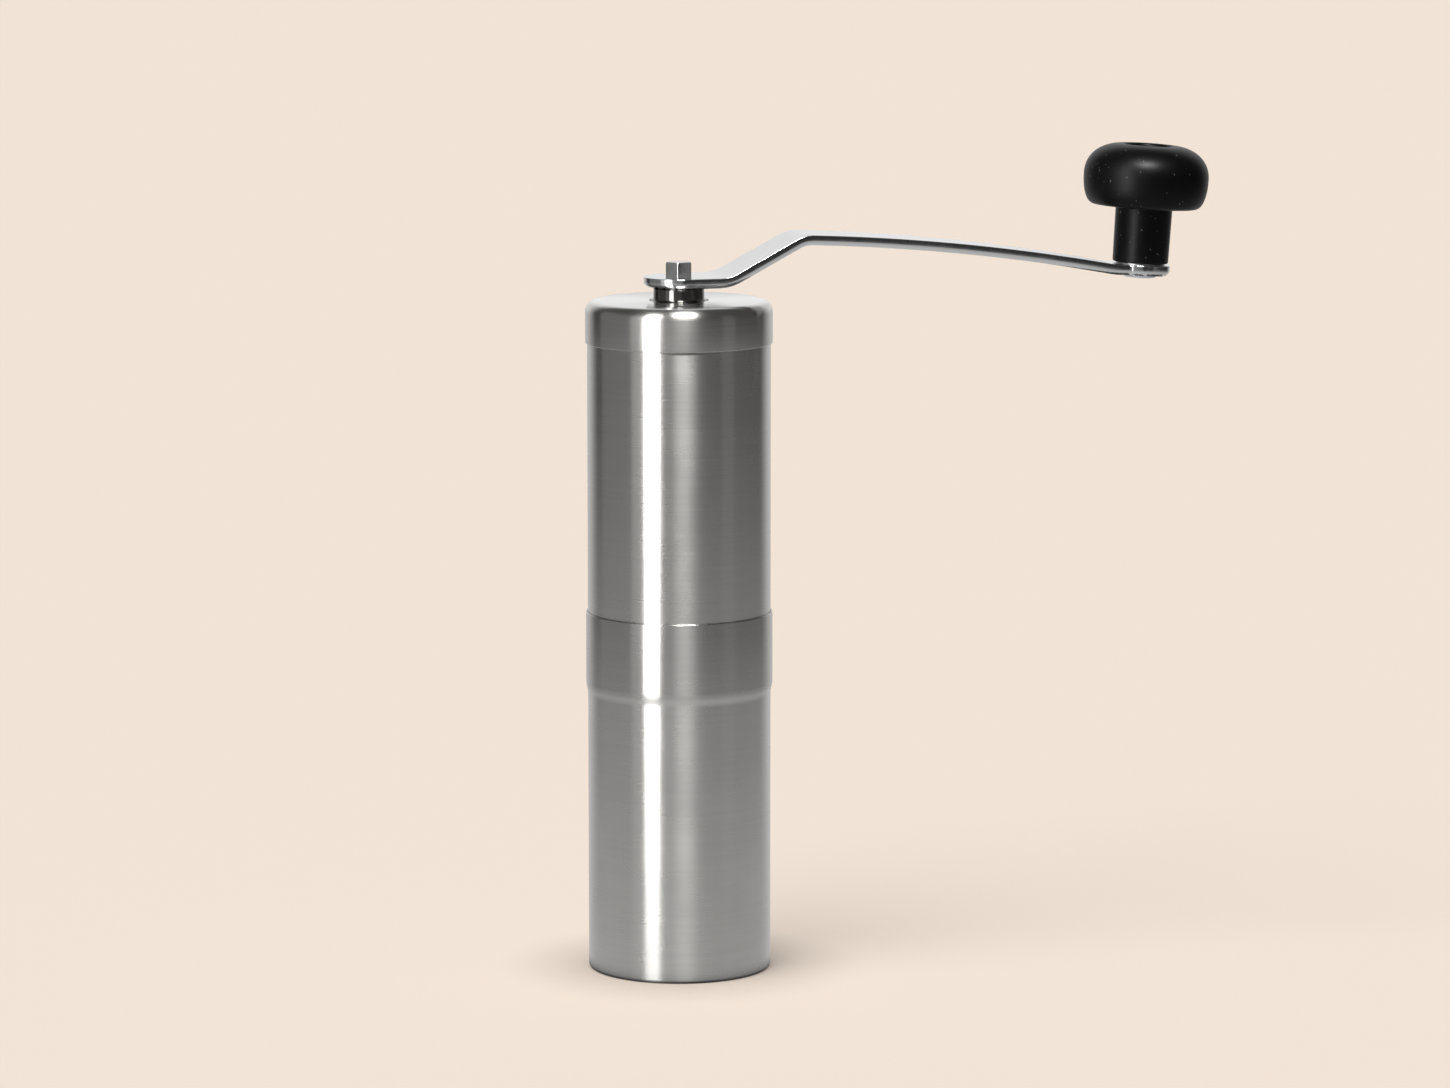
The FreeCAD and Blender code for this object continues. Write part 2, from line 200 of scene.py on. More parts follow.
def firedCeramic(name, look):                          # matt, with faint clouds and a few dark specks
    paint = Paint(name)
    place = paint.node("ShaderNodeTexCoord", output="Object")
    grain = paint.noise(place, clay["grain"], 3)
    cloud = paint.noise(place, clay["cloud"], 4)
    speck = paint.spread(paint.noise(place, clay["speck"], 1), clay["speckFrom"], clay["speckTo"])
    shaded = tuple(channel * tint for channel, tint in zip(look["colour"], clay["tint"])) + (1,)
    body = paint.mix(cloud, shaded, toned(look["colour"], 1))
    colour = paint.mix(speck * clay["speckShare"], body, clay["speckColour"])
    return paint.done({"Base Color": colour, "Roughness": look["rough"] + 0.2 * (grain - 0.5),
                       "Normal": paint.bump(grain, clay["grainDepth"])})


moulding = {"cloud": 70, "tint": (1, 1, 1.05), "dark": 0.8, "light": 1.3, "dust": 900, "dustFrom": 0.715,
            "dustTo": 0.75, "dustColour": (0.5, 0.5, 0.52, 1), "dustRough": 0.3}


def mouldedPlastic(name, look):                        # nearly black, with a fine grain and some dust
    paint = Paint(name)
    place = paint.node("ShaderNodeTexCoord", output="Object")
    grain = paint.noise(place, look["grain"], 3)
    cloud = paint.noise(place, moulding["cloud"], 4)
    dust = paint.spread(paint.noise(place, moulding["dust"], 2, 0.4), moulding["dustFrom"],
                        moulding["dustTo"])
    base = look["colour"]
    body = paint.mix(cloud, toned(moulding["tint"], base * moulding["dark"]),
                     toned(moulding["tint"], base * moulding["light"]))
    colour = paint.mix(dust * look["dust"], body, moulding["dustColour"])
    rough = look["rough"] + look["uneven"] * (cloud - 0.5) + moulding["dustRough"] * dust * look["dust"]
    return paint.done({"Base Color": colour, "Roughness": rough, "Specular IOR Level": look["gloss"],
                       "Normal": paint.bump(grain, look["depth"])})


steelLooks = {
    "jarSteel": {"colour": 0.56, "warmth": 0.018, "streak": 0.035, "rough": 0.27, "uneven": 0.10,
                 "grain": 0.95, "depth": 0.0000006, "bandFrom": 0.0752, "bandShare": 0.12,
                 "bandTone": 0.0, "bandRough": 0.0},
    "tubeSteel": {"colour": 0.52, "warmth": 0.02, "streak": 0.04, "rough": 0.27, "uneven": 0.10,
                  "grain": 0.95, "depth": 0.0000006},
    # the cap's band is a painted highlight: its flat top and upper shoulder are painted near-white, standing
    # in for the bright room they reflect
    "capSteel": {"colour": 0.53, "warmth": 0.02, "streak": 0.05, "rough": 0.25, "uneven": 0.08,
                 "grain": 0.90, "depth": 0.000001, "bandFrom": 0.1766, "bandShare": 0.75,
                 "bandTone": 0.92, "bandRough": -0.09},
    # painted dark reflection: the neck is the cap's own steel, given a dark colour that stands in for the
    # dark room it mirrors
    "neckSteel": {"colour": 0.15, "warmth": 0.03, "streak": 0.05, "rough": 0.16, "uneven": 0.05,
                  "grain": 0.93, "depth": 0.000001},
}
turnedLooks = {
    "shaftSteel": {"colour": (0.72, 0.72, 0.72), "rough": 0.2, "depth": 0.00001},
    "pressedSteel": {"colour": (0.50, 0.50, 0.50), "rough": 0.42, "depth": 0.00002},
    "springSteel": {"colour": (0.46, 0.46, 0.48), "rough": 0.2, "depth": 0.00001},
    "driverMetal": {"colour": (0.36, 0.36, 0.36), "rough": 0.5, "depth": 0.00004},
    "bushBronze": {"colour": (0.58, 0.40, 0.22), "rough": 0.38, "depth": 0.00002},
    "insertBrass": {"colour": (0.74, 0.56, 0.26), "rough": 0.26, "depth": 0.00001},
}
plasticLooks = {
    "carrierPlastic": {"colour": 0.024, "grain": 1800, "dust": 0.0, "rough": 0.55, "uneven": 0.12,
                       "gloss": 0.4, "depth": 0.00004},
    "dialPlastic": {"colour": 0.028, "grain": 1500, "dust": 0.0, "rough": 0.5, "uneven": 0.12,
                    "gloss": 0.45, "depth": 0.00003},
    "knobPlastic": {"colour": 0.0016, "grain": 420, "dust": 0.3, "rough": 0.40, "uneven": 0.14,
                    "gloss": 0.165, "depth": 0.00002},
}
crankLook = {"colour": 0.74, "wave": 160, "rough": 0.13, "uneven": 0.08, "depth": 0.00006}
ceramicLook = {"colour": (0.80, 0.78, 0.73), "rough": 0.55}
finishes = {"crankSteel": polishedSteel("crankSteel", crankLook),
            "burrCeramic": firedCeramic("burrCeramic", ceramicLook)}
for looks, maker in ((steelLooks, brushedSteel), (turnedLooks, turnedMetal), (plasticLooks, mouldedPlastic)):
    for name, look in looks.items():
        finishes[name] = maker(name, look)
print("finishes made:", len(finishes))


roundingSteps = 6
tiny = 1e-7
sharp = 1.2                                            # radians between the faces of a square edge


def turned(outline, steps, closed=True):               # spins (radius, height, rounding) corners about Z
    shape = bmesh.new()
    paintedContactShadow = [shape.verts.new((radius, 0, height)) for radius, height, rounding in outline]
    pairs = list(zip(paintedContactShadow, paintedContactShadow[1:]))
    if closed:
        pairs.append((paintedContactShadow[-1], paintedContactShadow[0]))
    for pair in pairs:
        shape.edges.new(pair)
    sizes = {}
    for corner, entry in zip(paintedContactShadow, outline):
        sizes.setdefault(entry[2], []).append(corner)
    for rounding, group in sorted(sizes.items()):
        if rounding:
            bmesh.ops.bevel(shape, geom=group, offset=rounding, segments=roundingSteps,
                            profile=0.5, affect="VERTICES", material=-1)
    bmesh.ops.spin(shape, geom=shape.verts[:] + shape.edges[:], cent=origin, axis=up,
                   angle=2 * math.pi, steps=steps, use_merge=True)
    bmesh.ops.remove_doubles(shape, verts=shape.verts, dist=tiny)
    bmesh.ops.recalc_face_normals(shape, faces=shape.faces)
    return shape


def piece(name, shape, body, finish, nodes=(), crease=32):
    for face in shape.faces:
        face.smooth = True
    for edge in shape.edges:
        if len(edge.link_faces) == 2 and edge.calc_face_angle() > math.radians(crease):
            edge.smooth = False
    mesh = bpy.data.meshes.new(name)
    shape.to_mesh(mesh)
    shape.free()
    made = bpy.data.objects.new(name, mesh)
    bpy.context.scene.collection.objects.link(made)
    mesh.materials.append(finishes[finish])
    if body:
        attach(made, body)
    if nodes:
        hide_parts(*nodes)
    return made


slip = 0.00005                                         # between the tube and what slides over it
jar = {"wall": 0.0005, "foot": 0.0009, "step": 0.0738, "stepFoot": 0.0006, "stepRise": 0.0021,
       "stepHead": 0.0008, "lip": 0.0002, "seat": 0.0004, "seatFoot": 0.0008, "seatRounding": 0.0005,
       "corner": 0.0008, "steps": 256}
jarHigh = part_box("grounds_jar")[1]
tubeLow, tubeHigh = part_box("body_tube")
tubeRadius = tubeHigh.x
bandRadius = jarHigh.x
bandFoot = jar["step"] + jar["stepRise"]
jarInside = tubeRadius - jar["wall"]
jarShape = turned([
    (0, 0, 0),
    (tubeRadius, 0, jar["foot"]),
    (tubeRadius, jar["step"], jar["stepFoot"]),
    (bandRadius, bandFoot, jar["stepHead"]),
    (bandRadius, jarHigh.z, jar["lip"]),
    (tubeRadius + slip, jarHigh.z, jar["lip"]),
    (tubeRadius + slip, bandFoot + jar["seat"], jar["seatRounding"]),
    (jarInside, jar["step"] + jar["seatFoot"], jar["seatRounding"]),
    (jarInside, jar["wall"], jar["corner"]),
    (0, jar["wall"], 0),
], jar["steps"], closed=False)
piece("jarShell", jarShape, "jar", "jarSteel", ["grounds_jar"])

tube = {"wall": 0.0005, "lip": 0.0002, "steps": 256}
tubeShape = turned([
    (tubeRadius, tubeLow.z, tube["lip"]),
    (tubeRadius, tubeHigh.z, tube["lip"]),
    (tubeRadius - tube["wall"], tubeHigh.z, tube["lip"]),
    (tubeRadius - tube["wall"], tubeLow.z, tube["lip"]),
], tube["steps"])
piece("tubeShell", tubeShape, "case", "tubeSteel", ["body_tube"])

cap = {"wall": 0.0005, "top": 0.177, "shoulder": 0.003, "inner": 0.00255, "hole": 0.00745, "lip": 0.0002,
       "steps": 256}
capLow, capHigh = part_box("top_cap")
capUnder = cap["top"] - cap["wall"]
capShape = turned([
    (cap["hole"], cap["top"], 0),
    (capHigh.x, cap["top"], cap["shoulder"]),
    (capHigh.x, capLow.z, cap["lip"]),
    (tubeRadius + slip, capLow.z, cap["lip"]),
    (tubeRadius + slip, capUnder, cap["inner"]),
    (cap["hole"], capUnder, 0),
], cap["steps"])
piece("capShell", capShape, "cap", "capSteel", ["top_cap"])

neck = {"radius": 0.0066, "footRadius": 0.0067, "flare": 0.0006, "brim": 0.00775, "rounding": 0.0004,
        "wall": 0.0005, "inside": 0.006, "insideFoot": 0.0062, "insideRounding": 0.0002, "hole": 0.0039,
        "holeRounding": 0.0001, "sunk": 0.0001, "steps": 128}
neckUnder = capHigh.z - neck["wall"]
neckFoot = capUnder + neck["sunk"]
neckShape = turned([
    (neck["brim"], cap["top"], 0),
    (neck["footRadius"], cap["top"], neck["flare"]),
    (neck["radius"], capHigh.z, neck["rounding"]),
    (neck["hole"], capHigh.z, neck["holeRounding"]),
    (neck["hole"], neckUnder, neck["holeRounding"]),
    (neck["inside"], neckUnder, neck["insideRounding"]),
    (neck["insideFoot"], neckFoot, 0),
    (neck["brim"], neckFoot, 0),
], neck["steps"])
piece("capNeck", neckShape, "cap", "neckSteel")
print("jar, tube and cap made")


# the crank bar is cut out flat, then bent
crank = {"thickness": 0.0027, "eye": 0.0092, "disc": 0.0079, "discAt": 0.1268, "endHalf": 0.00625,
         "topEdge": 0.0002, "lowEdge": 0.0014, "slices": 90, "hole": 0.00363, "holeCorner": 0.00015,
         "holeTurn": 35, "holeReach": 0.006, "foot": 0.1805, "discSlope": 3.6,
         "bends": [(0.0184, 0, 0), (0, 0.01035, 27.7), (0.01851, 0, 0), (0, 0.007, -30.4),
                   (0, 0.586, -8.15), (0, 0.016, 7.25), (0.018, 0, 0)]}


def crankLine(distance):                               # point and heading this far along the middle line
    place = Vector((-crank["eye"], 0, crank["foot"] + crank["thickness"] / 2))
    heading = 0.0
    for length, radius, turn in crank["bends"]:
        run = length if turn == 0 else radius * abs(math.radians(turn))
        step = min(distance, run) if (length, radius, turn) != crank["bends"][-1] else distance
        if turn == 0:
            place = place + step * Vector((math.cos(heading), 0, math.sin(heading)))
        else:
            reach = math.copysign(radius, turn)
            centre = place + reach * Vector((-math.sin(heading), 0, math.cos(heading)))
            heading += step / reach
            place = centre - reach * Vector((-math.sin(heading), 0, math.cos(heading)))
        distance -= step
        if distance <= 0:
            break
    return place, heading


def lengthTo(reach):                                   # how far along the middle line this X lies
    low, high = 0.0, 0.2
    for attempt in range(40):
        middle = (low + high) / 2
        if crankLine(middle)[0].x < reach:
            low = middle
        else:
            high = middle
    return low


def arc(shape, centre, start, degrees, steps):         # a row of edges swung round a centre
    bmesh.ops.spin(shape, geom=[shape.verts.new(start)], cent=centre, axis=up,
                   angle=math.radians(degrees), steps=steps)


blank = bmesh.new()
eyeAt = crank["eye"]
discAt = lengthTo(crank["discAt"])
meet = math.degrees(math.asin(crank["endHalf"] / crank["disc"]))
joint = Vector((discAt - crank["disc"] * math.cos(math.radians(meet)), -crank["endHalf"], 0))
arc(blank, Vector((eyeAt, 0, 0)), Vector((eyeAt, crank["eye"], 0)), 180, 48)
arc(blank, Vector((discAt, 0, 0)), joint, 360 - 2 * meet, 64)
blank.verts.ensure_lookup_table()
ends = [v for v in blank.verts if len(v.link_edges) == 1]
for side in (-1, 1):
    pair = [v for v in ends if v.co.y * side > 0]
    blank.edges.new(pair)
holeStand = (Matrix.Translation((eyeAt, 0, 0))
             @ Matrix.Rotation(math.radians(crank["holeTurn"] - 90), 4, "Z"))
fiveCorners = bmesh.ops.create_circle(blank, segments=5, radius=crank["hole"], matrix=holeStand)
bmesh.ops.bevel(blank, geom=fiveCorners["verts"], offset=crank["holeCorner"], segments=2, profile=0.5,
                affect="VERTICES", material=-1)
bmesh.ops.triangle_fill(blank, edges=blank.edges[:], use_beauty=True)
blankLength = discAt + crank["disc"]
for count in range(1, crank["slices"]):
    cut = Vector((blankLength * count / crank["slices"], 0, 0))
    bmesh.ops.bisect_plane(blank, geom=blank.verts[:] + blank.edges[:] + blank.faces[:], dist=1e-6,
                           plane_co=cut, plane_no=(1, 0, 0))
lifted = bmesh.ops.extrude_face_region(blank, geom=blank.faces[:])
bmesh.ops.translate(blank, verts=[v for v in lifted["geom"] if isinstance(v, bmesh.types.BMVert)],
                    vec=(0, 0, crank["thickness"]))
bmesh.ops.recalc_face_normals(blank, faces=blank.faces)
rims = [e for e in blank.edges if len(e.link_faces) == 2 and e.calc_face_angle() > sharp
        and abs(e.verts[0].co.z - e.verts[1].co.z) < 1e-6]
outer = [e for e in rims
         if (e.verts[0].co - Vector((eyeAt, 0, e.verts[0].co.z))).length > crank["holeReach"]]
lowRim = [e for e in outer if e.verts[0].co.z < crank["thickness"] / 2]
highRim = [e for e in outer if e not in lowRim]
bmesh.ops.bevel(blank, geom=lowRim, offset=crank["lowEdge"], segments=5, profile=0.5, affect="EDGES",
                material=-1)
bmesh.ops.bevel(blank, geom=highRim, offset=crank["topEdge"], segments=3, profile=0.5, affect="EDGES",
                material=-1)
for vert in blank.verts:
    place, heading = crankLine(vert.co.x)
    rise = vert.co.z - crank["thickness"] / 2
    vert.co = place + Vector((-rise * math.sin(heading), vert.co.y, rise * math.cos(heading)))
crankBar = piece("crankBar", blank, "crank", "crankSteel", ["crank_arm"], crease=40)
weighted = crankBar.modifiers.new("evenFlats", "WEIGHTED_NORMAL")
weighted.keep_sharp = True
print("crank bar bent")


discPlace, discHeading = crankLine(discAt)
discTop = discPlace + Vector((-math.sin(discHeading), 0, math.cos(discHeading))) * crank["thickness"] / 2
spare = (discTop.x - crank["discAt"]) / math.cos(discHeading)
discTop -= spare * Vector((math.cos(discHeading), 0, math.sin(discHeading)))
knobStand = Matrix.Translation(discTop) @ Matrix.Rotation(math.radians(crank["discSlope"]), 4, "Y")

knob = {"foot": 0.00035, "stem": 0.0074, "stemTop": 0.00755, "underside": 0.0153, "rim": 0.0134,
        "widest": 0.0166, "widestAt": 0.0233, "height": 0.0317, "mouth": 0.0072, "mouthEdge": 0.0062,
        "lowPull": 0.0153, "sidePull": 0.0050, "risePull": 0.0060, "topPull": 0.0112,
        "recess": 0.0058, "recessFloor": 0.0265, "bore": 0.00312, "steps": 160}


def bow(start, first, second, end, count):             # points of a smooth bow between two corners
    points = interpolate_bezier(*(Vector((r, 0, z)) for r, z in (start, first, second, end)), count)
    return [(point.x, point.z, 0) for point in points]


lowerBow = bow((knob["rim"], knob["underside"]), (knob["lowPull"], knob["underside"]),
               (knob["widest"], knob["widestAt"] - knob["sidePull"]), (knob["widest"], knob["widestAt"]), 20)
upperBow = bow((knob["widest"], knob["widestAt"]), (knob["widest"], knob["widestAt"] + knob["risePull"]),
               (knob["topPull"], knob["height"]), (knob["mouth"], knob["height"]), 26)
knobShape = turned(
    [(knob["bore"], knob["foot"], 0), (knob["stem"], knob["foot"], 0.0005),
     (knob["stemTop"], knob["underside"], 0.0006)]
    + lowerBow + upperBow[1:-1]
    + [(knob["mouthEdge"], knob["height"] - 0.0001, 0.0007), (knob["recess"], knob["recessFloor"], 0.0006),
       (knob["bore"], knob["recessFloor"], 0)], knob["steps"])
bmesh.ops.transform(knobShape, matrix=knobStand, verts=knobShape.verts)
piece("gripKnob", knobShape, "knob", "knobPlastic", ["knob"])

pin = {"foot": -0.0036, "footRadius": 0.0044, "footRounding": 0.0006, "footTop": -0.0027, "radius": 0.003,
       "headRadius": 0.0046, "headFoot": 0.0271, "headEdge": 0.0287, "domeRadius": 0.0040, "top": 0.0293,
       "steps": 96}
rivetShape = turned([
    (0, pin["foot"], 0), (pin["footRadius"], pin["foot"], pin["footRounding"]),
    (pin["headRadius"], pin["footTop"], 0.0002), (pin["radius"], pin["footTop"], 0),
    (pin["radius"], pin["headFoot"], 0), (pin["headRadius"], pin["headFoot"], 0.0003),
    (pin["domeRadius"], pin["headEdge"], 0.0008), (0, pin["top"], 0),
], pin["steps"], closed=False)
bmesh.ops.transform(rivetShape, matrix=knobStand, verts=rivetShape.verts)
piece("rivet", rivetShape, "crank", "crankSteel", ["knob_rivet"])
print("knob and rivet made")

# the shaft: a threaded foot, two flats for the burr driver, the round stem and the five-sided tip
shaft = {"radius": 0.0035, "foot": 0.063, "thread": 0.0025, "pitch": 0.0008, "depth": 0.00028,
         "crestTo": 0.00022, "rootFrom": 0.00046, "rootTo": 0.00056, "grooveWide": 0.001,
         "threadTop": 0.0776, "flatsTop": 0.088, "flats": 0.0025, "grooves": (0.15995, 0.16805),
         "groove": 0.00305, "flatsRadius": 0.00348, "shoulder": 0.1805,
         "tip": 0.187, "corner": 0.00355, "turn": 35, "tipCorner": 0.00042, "tipEdge": 0.00016,
         "overlap": 0.0003, "flatsOverlap": 0.0001, "threadOverlap": 0.0002}


def pullUp(shape, outline, low, high):                 # pulls a flat face up into a closed bar
    bmesh.ops.translate(shape, verts=outline, vec=(0, 0, low))
    faces = list({face for vert in outline for face in vert.link_faces})
    raised = bmesh.ops.extrude_face_region(shape, geom=faces)
    tops = [v for v in raised["geom"] if isinstance(v, bmesh.types.BMVert)]
    bmesh.ops.translate(shape, verts=tops, vec=(0, 0, high - low))
    return tops


stemCorners = [(0, shaft["flatsTop"], 0), (shaft["radius"], shaft["flatsTop"], 0.0001)]
for grooveFoot in shaft["grooves"]:
    grooveTop = grooveFoot + shaft["grooveWide"]
    stemCorners += [(shaft["radius"], grooveFoot, 0.00005), (shaft["groove"], grooveFoot, 0),
                    (shaft["groove"], grooveTop, 0), (shaft["radius"], grooveTop, 0.00005)]
stemCorners += [(shaft["radius"], shaft["shoulder"], 0.0002), (0, shaft["shoulder"], 0)]
shaftShape = turned(stemCorners, 96, closed=False)

thread = bmesh.new()
crest = shaft["thread"]
root = crest - shaft["depth"]
ridge = [(crest, 0), (crest, shaft["crestTo"]), (root, shaft["rootFrom"]), (root, shaft["rootTo"]),
         (crest, shaft["pitch"])]
points = [thread.verts.new((radius, 0, shaft["foot"] - 2 * shaft["pitch"] + height))
          for radius, height in ridge]
for pair in zip(points, points[1:]):
    thread.edges.new(pair)
threadTurns = int((shaft["threadTop"] - shaft["foot"]) / shaft["pitch"]) + 4
bmesh.ops.spin(thread, geom=thread.verts[:] + thread.edges[:], cent=origin, axis=up,
               dvec=(0, 0, shaft["pitch"] / 48), angle=2 * math.pi * threadTurns, steps=48 * threadTurns)
bmesh.ops.remove_doubles(thread, verts=thread.verts, dist=tiny)
for height, way in ((shaft["foot"], -1), (shaft["threadTop"] + shaft["threadOverlap"], 1)):
    bmesh.ops.bisect_plane(thread, geom=thread.verts[:] + thread.edges[:] + thread.faces[:], dist=1e-8,
                           plane_co=(0, 0, height), plane_no=(0, 0, way), clear_outer=True)
    rim = [e for e in thread.edges if e.is_boundary and all(abs(v.co.z - height) < tiny for v in e.verts)]
    bmesh.ops.contextual_create(thread, geom=rim)
bmesh.ops.recalc_face_normals(thread, faces=thread.faces)

flats = bmesh.new()
bmesh.ops.create_circle(flats, cap_ends=True, segments=96, radius=shaft["flatsRadius"])
for way in (-1, 1):
    bmesh.ops.bisect_plane(flats, geom=flats.verts[:] + flats.edges[:] + flats.faces[:], dist=1e-8,
                           plane_co=(0, way * shaft["flats"], 0), plane_no=(0, way, 0), clear_outer=True)
pullUp(flats, flats.verts[:], shaft["threadTop"], shaft["flatsTop"] + shaft["flatsOverlap"])
bmesh.ops.recalc_face_normals(flats, faces=flats.faces)

tip = bmesh.new()
tipTurn = Matrix.Rotation(math.radians(shaft["turn"] - 90), 4, "Z")
fivePoints = bmesh.ops.create_circle(tip, cap_ends=True, segments=5, radius=shaft["corner"], matrix=tipTurn)
tops = pullUp(tip, fivePoints["verts"], shaft["shoulder"] - shaft["overlap"], shaft["tip"])
bmesh.ops.bevel(tip, geom=tops, offset=shaft["tipCorner"], segments=1, profile=0.5, affect="VERTICES",
                material=-1)
bmesh.ops.bevel(tip, geom=tip.edges[:], offset=shaft["tipEdge"], segments=4, profile=0.5, affect="EDGES",
                material=-1)
bmesh.ops.recalc_face_normals(tip, faces=tip.faces)
for part in (thread, flats, tip):
    mesh = bpy.data.meshes.new("part")
    part.to_mesh(mesh)
    part.free()
    shaftShape.from_mesh(mesh)
    bpy.data.meshes.remove(mesh)
piece("driveShaft", shaftShape, "shaft", "shaftSteel", ["drive_shaft"])

dial = {"bore": 0.0046, "radius": 0.0105, "collar": 0.0084, "scallops": 12, "scallop": 0.002,
        "scallopAt": 0.0116, "foot": 0.066, "neck": 0.0738, "top": 0.0769, "steps": 360}
dialShape = turned([
    (dial["bore"], dial["foot"], 0.0002), (dial["radius"], dial["foot"], 0.0008),
    (dial["radius"], dial["neck"], 0.0006), (dial["collar"], dial["neck"] + 0.0004, 0.0001),
    (dial["collar"], dial["top"], 0.0002), (dial["bore"], dial["top"], 0.0002),
], dial["steps"])
turnStep = 2 * math.pi / dial["scallops"]
for vert in dialShape.verts:                           # the grip's scallops
    radius = vert.co.xy.length
    if radius > dial["collar"] + 0.0001:
        swing = math.atan2(vert.co.y, vert.co.x)
        swing -= turnStep * math.floor(swing / turnStep + 0.5)
        chord = dial["scallop"] ** 2 - (dial["scallopAt"] * math.sin(swing)) ** 2
        if chord > 0:
            inner = dial["scallopAt"] * math.cos(swing) - math.sqrt(chord)
            share = (radius - dial["collar"]) / (dial["radius"] - dial["collar"])
            vert.co.xy *= (radius - max(0, dial["radius"] - inner) * share) / radius
piece("adjusterDial", dialShape, "adjuster", "dialPlastic", ["adjuster_dial"])
print("shaft and dial made")

# the spring is wound in three runs, close at both ends and open between them
spring = {"radius": 0.00435, "wire": 0.00031, "low": 0.08636, "steps": 40,
          "runs": ((0.75, 0.00066), (2.0, 0.0019), (0.75, 0.00066)),
          "fixedEnd": 0.0912, "movingEnd": 0.0863}
springShape = bmesh.new()
wireStand = (Matrix.Translation((spring["radius"], 0, spring["low"]))
             @ Matrix.Rotation(math.radians(90), 4, "X"))
loop = bmesh.ops.create_circle(springShape, segments=10, radius=spring["wire"], matrix=wireStand)["verts"]
loop = loop + list({edge for vert in loop for edge in vert.link_edges})
for turns, pitch in spring["runs"]:
    count = round(turns * spring["steps"])
    wound = bmesh.ops.spin(springShape, geom=loop, cent=origin, axis=up,
                           dvec=(0, 0, pitch / spring["steps"]), angle=2 * math.pi * turns, steps=count)
    loop = wound["geom_last"]
bmesh.ops.remove_doubles(springShape, verts=springShape.verts, dist=tiny)
bmesh.ops.holes_fill(springShape, edges=[e for e in springShape.edges if e.is_boundary])
bmesh.ops.recalc_face_normals(springShape, faces=springShape.faces)
burrSpring = piece("burrSpring", springShape, None, "springSteel", ["burr_spring"])
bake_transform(burrSpring)
print("spring wound")


kept = {
    "pressedSteel": ["shaft_bridge", "thrust_washer", "detent_plate", "knob_washers"],
    "springSteel": ["burr_clip_ring", "shaft_circlips"],
    "bushBronze": ["upper_bush", "lower_bush"],
    "burrCeramic": ["outer_burr", "inner_burr"],
    "carrierPlastic": ["burr_carrier"],
    "driverMetal": ["burr_driver"],
    "insertBrass": ["adjuster_insert"],
}
for finish, nodes in kept.items():
    for node in nodes:
        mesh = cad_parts[node].data
        mesh.materials.clear()
        mesh.materials.append(finishes[finish])
print("carried-over nodes finished:", sum(len(nodes) for nodes in kept.values()))


floorLook = {"colour": (0.88, 0.766, 0.665, 1), "own": 0.70, "size": 40.0,
             "near": (0.04, 0.60), "far": (1.25, 0.03), "behind": (0.55, 0.85, 0.62),
             "paintedFootShade": (0.0238, 0.0290, 0.10), "paintedShadowReach": 0.026}
floorShape = bmesh.new()
bmesh.ops.create_grid(floorShape, x_segments=1, y_segments=1, size=floorLook["size"] / 2)
floorMesh = bpy.data.meshes.new("paleFloor")
floorShape.to_mesh(floorMesh)
floorShape.free()
floor = bpy.data.objects.new("paleFloor", floorMesh)
bpy.context.scene.collection.objects.link(floor)

camera = {"turn": 15.0, "away": 1.5, "aside": 0.01202, "height": 0.3387, "tilt": 8.57, "lens": 143.57}
turn = math.radians(camera["turn"])
forward = Vector((math.sin(turn), math.cos(turn), 0))
right = Vector((math.cos(turn), -math.sin(turn), 0))
lens = bpy.data.cameras.new("camera")
lens.lens = camera["lens"]
lens.sensor_width = 36
lens.clip_end = 100
eye = bpy.data.objects.new("camera", lens)
eye.location = right * camera["aside"] - forward * camera["away"] + up * camera["height"]
eye.rotation_euler = (math.radians(90 - camera["tilt"]), 0, -turn)
bpy.context.scene.collection.objects.link(eye)
bpy.context.scene.camera = eye

# the paper is cream to the eye, with a painted contact shadow round the foot, and in the steel's reflections
# it glows a grey that fades away from the grinder except behind it, with painted shade next to the foot
floorPaint = Paint("palePaper")
spot = floorPaint.node("ShaderNodeNewGeometry", output="Position")
reach = floorPaint.node("ShaderNodeVectorMath", {"operation": "LENGTH"}, {0: spot}, output="Value")
course = floorPaint.node("ShaderNodeVectorMath", {"operation": "NORMALIZE"}, {0: spot})
beyond = floorPaint.node("ShaderNodeVectorMath", {"operation": "DOT_PRODUCT"}, {0: course, 1: forward},
                         output="Value")
(nearAt, nearShade), (farAt, farShade) = floorLook["near"], floorLook["far"]
behindFrom, behindTo, behindShade = floorLook["behind"]
around = floorPaint.spread(reach, nearAt, farAt, nearShade, farShade)
behind = floorPaint.spread(beyond, behindFrom, behindTo)
# painted shade: the grey glow seen in reflections is darkened next to the foot, so the foot's rounding
# mirrors a dark line
contactFrom, contactTo, contactShade = floorLook["paintedFootShade"]
paintedFootShade = floorPaint.spread(reach, contactFrom, contactTo, contactShade, 1.0)
shade = (around + behind * (behindShade - around)) * paintedFootShade
mirrored = floorPaint.node("ShaderNodeEmission", {}, {"Color": grey(1), "Strength": shade})
# painted shadow: the paper's cream glow is dimmed by ambient occlusion round the grinder's foot
paintedContactShadow = floorPaint.node("ShaderNodeAmbientOcclusion", {"samples": 12},
                          {"Distance": floorLook["paintedShadowReach"]}, output="AO")
glow = floorPaint.node("ShaderNodeEmission", {}, {"Color": floorLook["colour"], "Strength": paintedContactShadow})
paper = floorPaint.node("ShaderNodeBsdfDiffuse", {}, {"Color": floorLook["colour"]})
seen = floorPaint.node("ShaderNodeMixShader", {}, {0: floorLook["own"], 1: paper, 2: glow})
direct = floorPaint.node("ShaderNodeLightPath", output="Is Camera Ray")
both = floorPaint.node("ShaderNodeMixShader", {}, {0: direct, 1: mirrored, 2: seen})
floorPaint.node("ShaderNodeOutputMaterial", {}, {"Surface": both})
floorMesh.materials.append(floorPaint.owner)

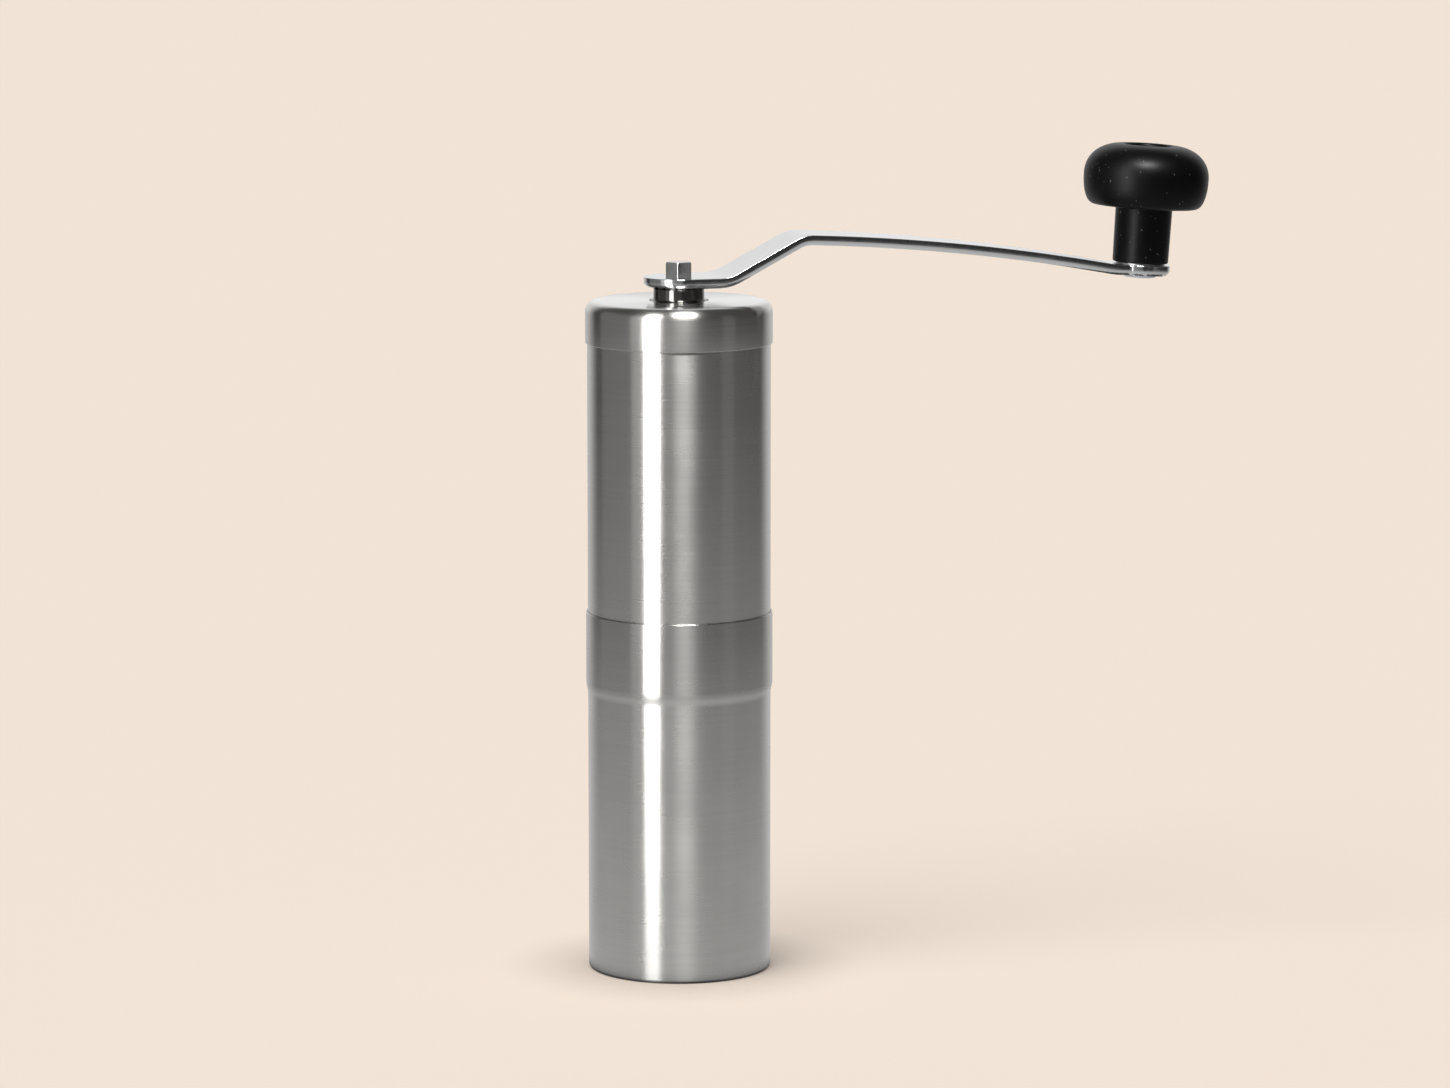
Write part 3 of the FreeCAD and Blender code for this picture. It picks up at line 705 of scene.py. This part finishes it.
# each lamp: degrees round from the camera side (minus is left), distance, height of its middle, height
# that it aims at, width, height of its face, and how bright the face is
lamps = {
    "leftStrip": (-33.3, 0.50, 0.37, 0.37, 0.16, 0.84, 9.0),
    "leftFill": (-80, 0.90, 0.30, 0.17, 1.10, 0.90, 0.14),
    "leftHalo": (-53, 0.60, 0.30, 0.17, 0.16, 0.70, 0.36),
    "rightGlow": (64, 0.80, 0.30, 0.17, 0.24, 0.60, 0.08),
    "leftGlow": (-18, 0.60, 0.20, 0.17, 0.70, 0.40, 0.16),
    "highSoft": (10.8, 0.62, 1.15, 0.17, 0.36, 0.26, 70.0),
}
for name, (swing, away, height, aim, wide, tall, bright) in lamps.items():
    light = bpy.data.lights.new(name, "AREA")
    light.shape = "RECTANGLE"
    light.size = wide
    light.size_y = tall
    light.energy = bright * math.pi * wide * tall
    holder = bpy.data.objects.new(name, light)
    angle = math.radians(swing)
    holder.location = (right * math.sin(angle) - forward * math.cos(angle)) * away + up * height
    holder.rotation_euler = (up * aim - holder.location).to_track_quat("-Z", "Y").to_euler()
    holder.visible_camera = False
    holder.visible_diffuse = False
    bpy.context.scene.collection.objects.link(holder)

sky = {"strength": 3.1, "spread": 40, "right": -0.35, "forward": -0.45}
sunLight = bpy.data.lights.new("softSky", "SUN")
sunLight.energy = sky["strength"]
sunLight.angle = math.radians(sky["spread"])
sun = bpy.data.objects.new("softSky", sunLight)
towardSky = right * sky["right"] + forward * sky["forward"] + up
sun.rotation_euler = towardSky.to_track_quat("Z", "Y").to_euler()
sun.visible_glossy = False
bpy.context.scene.collection.objects.link(sun)

# the room is bright low down behind the grinder and dim elsewhere
room = {"dim": 0.09, "bright": 0.88, "turnFrom": 0.60, "turnTo": 0.85, "riseFrom": 0.80, "riseTo": 0.60}
world = bpy.data.worlds.new("studio")
bpy.context.scene.world = world
roomPaint = Paint(world)
direction = roomPaint.node("ShaderNodeTexCoord", output="Generated")
facing = roomPaint.node("ShaderNodeVectorMath", {"operation": "DOT_PRODUCT"}, {0: direction, 1: forward},
                        output="Value")
rise = roomPaint.node("ShaderNodeVectorMath", {"operation": "DOT_PRODUCT"}, {0: direction, 1: up},
                      output="Value")
ahead = roomPaint.spread(facing, room["turnFrom"], room["turnTo"])
lowDown = roomPaint.spread(rise, room["riseFrom"], room["riseTo"])
strength = room["dim"] + (room["bright"] - room["dim"]) * (ahead * lowDown)
reflected = roomPaint.node("ShaderNodeBackground", {}, {"Color": grey(1), "Strength": strength})
wallpaper = roomPaint.node("ShaderNodeBackground", {}, {"Color": floorLook["colour"]})
plain = roomPaint.node("ShaderNodeLightPath", output="Is Camera Ray")
walls = roomPaint.node("ShaderNodeMixShader", {}, {0: plain, 1: reflected, 2: wallpaper})
roomPaint.node("ShaderNodeOutputWorld", {}, {"Surface": walls})
bpy.context.scene.view_settings.view_transform = "Standard"
print("floor, lamps and camera placed")
